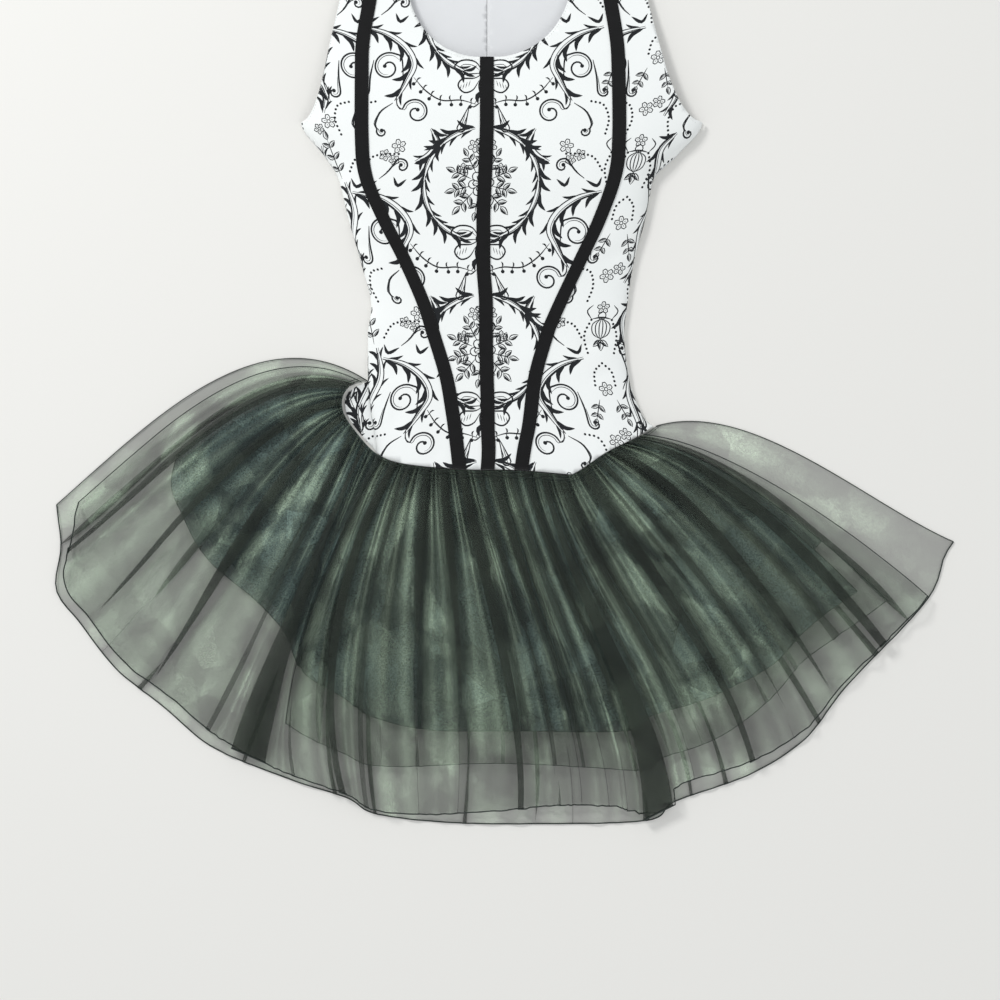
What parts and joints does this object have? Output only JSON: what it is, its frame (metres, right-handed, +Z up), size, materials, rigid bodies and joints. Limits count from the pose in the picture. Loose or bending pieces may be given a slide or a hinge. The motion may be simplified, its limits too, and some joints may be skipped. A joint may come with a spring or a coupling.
{
  "type": "pageant dress",
  "caption": "Sleeveless pageant dress laid flat: printed fitted bodice with black velvet ribbon trims and a full gathered sheer black skirt.",
  "frame": {"origin": "centre of the whole outline, on the surface that the dress lies on", "axes": "+Z up from that surface, +Y towards the neck, +X to the right as seen from above"},
  "size_m": [1.0402, 1.009, 0.0306],
  "materials": {
    "printed_cloth": "cool white woven cloth with a black outline print",
    "velvet": "black velvet ribbon",
    "organza": "sheer black organza",
    "lining": "dark semi-sheer lining"
  },
  "bodies": {
    "root": {"bodice_front_center_left": "printed_cloth", "bodice_front_center_right": "printed_cloth", "bodice_side_front_left": "printed_cloth", "bodice_side_front_right": "printed_cloth", "bodice_back_left": "printed_cloth", "bodice_back_right": "printed_cloth", "trim_left": "velvet", "trim_center": "velvet", "trim_right": "velvet", "skirt_outer_back": "organza", "skirt_lining_back": "lining", "skirt_lining_front": "lining", "skirt_mid_front": "organza", "skirt_outer_front": "organza"}
  },
  "joints": []
}
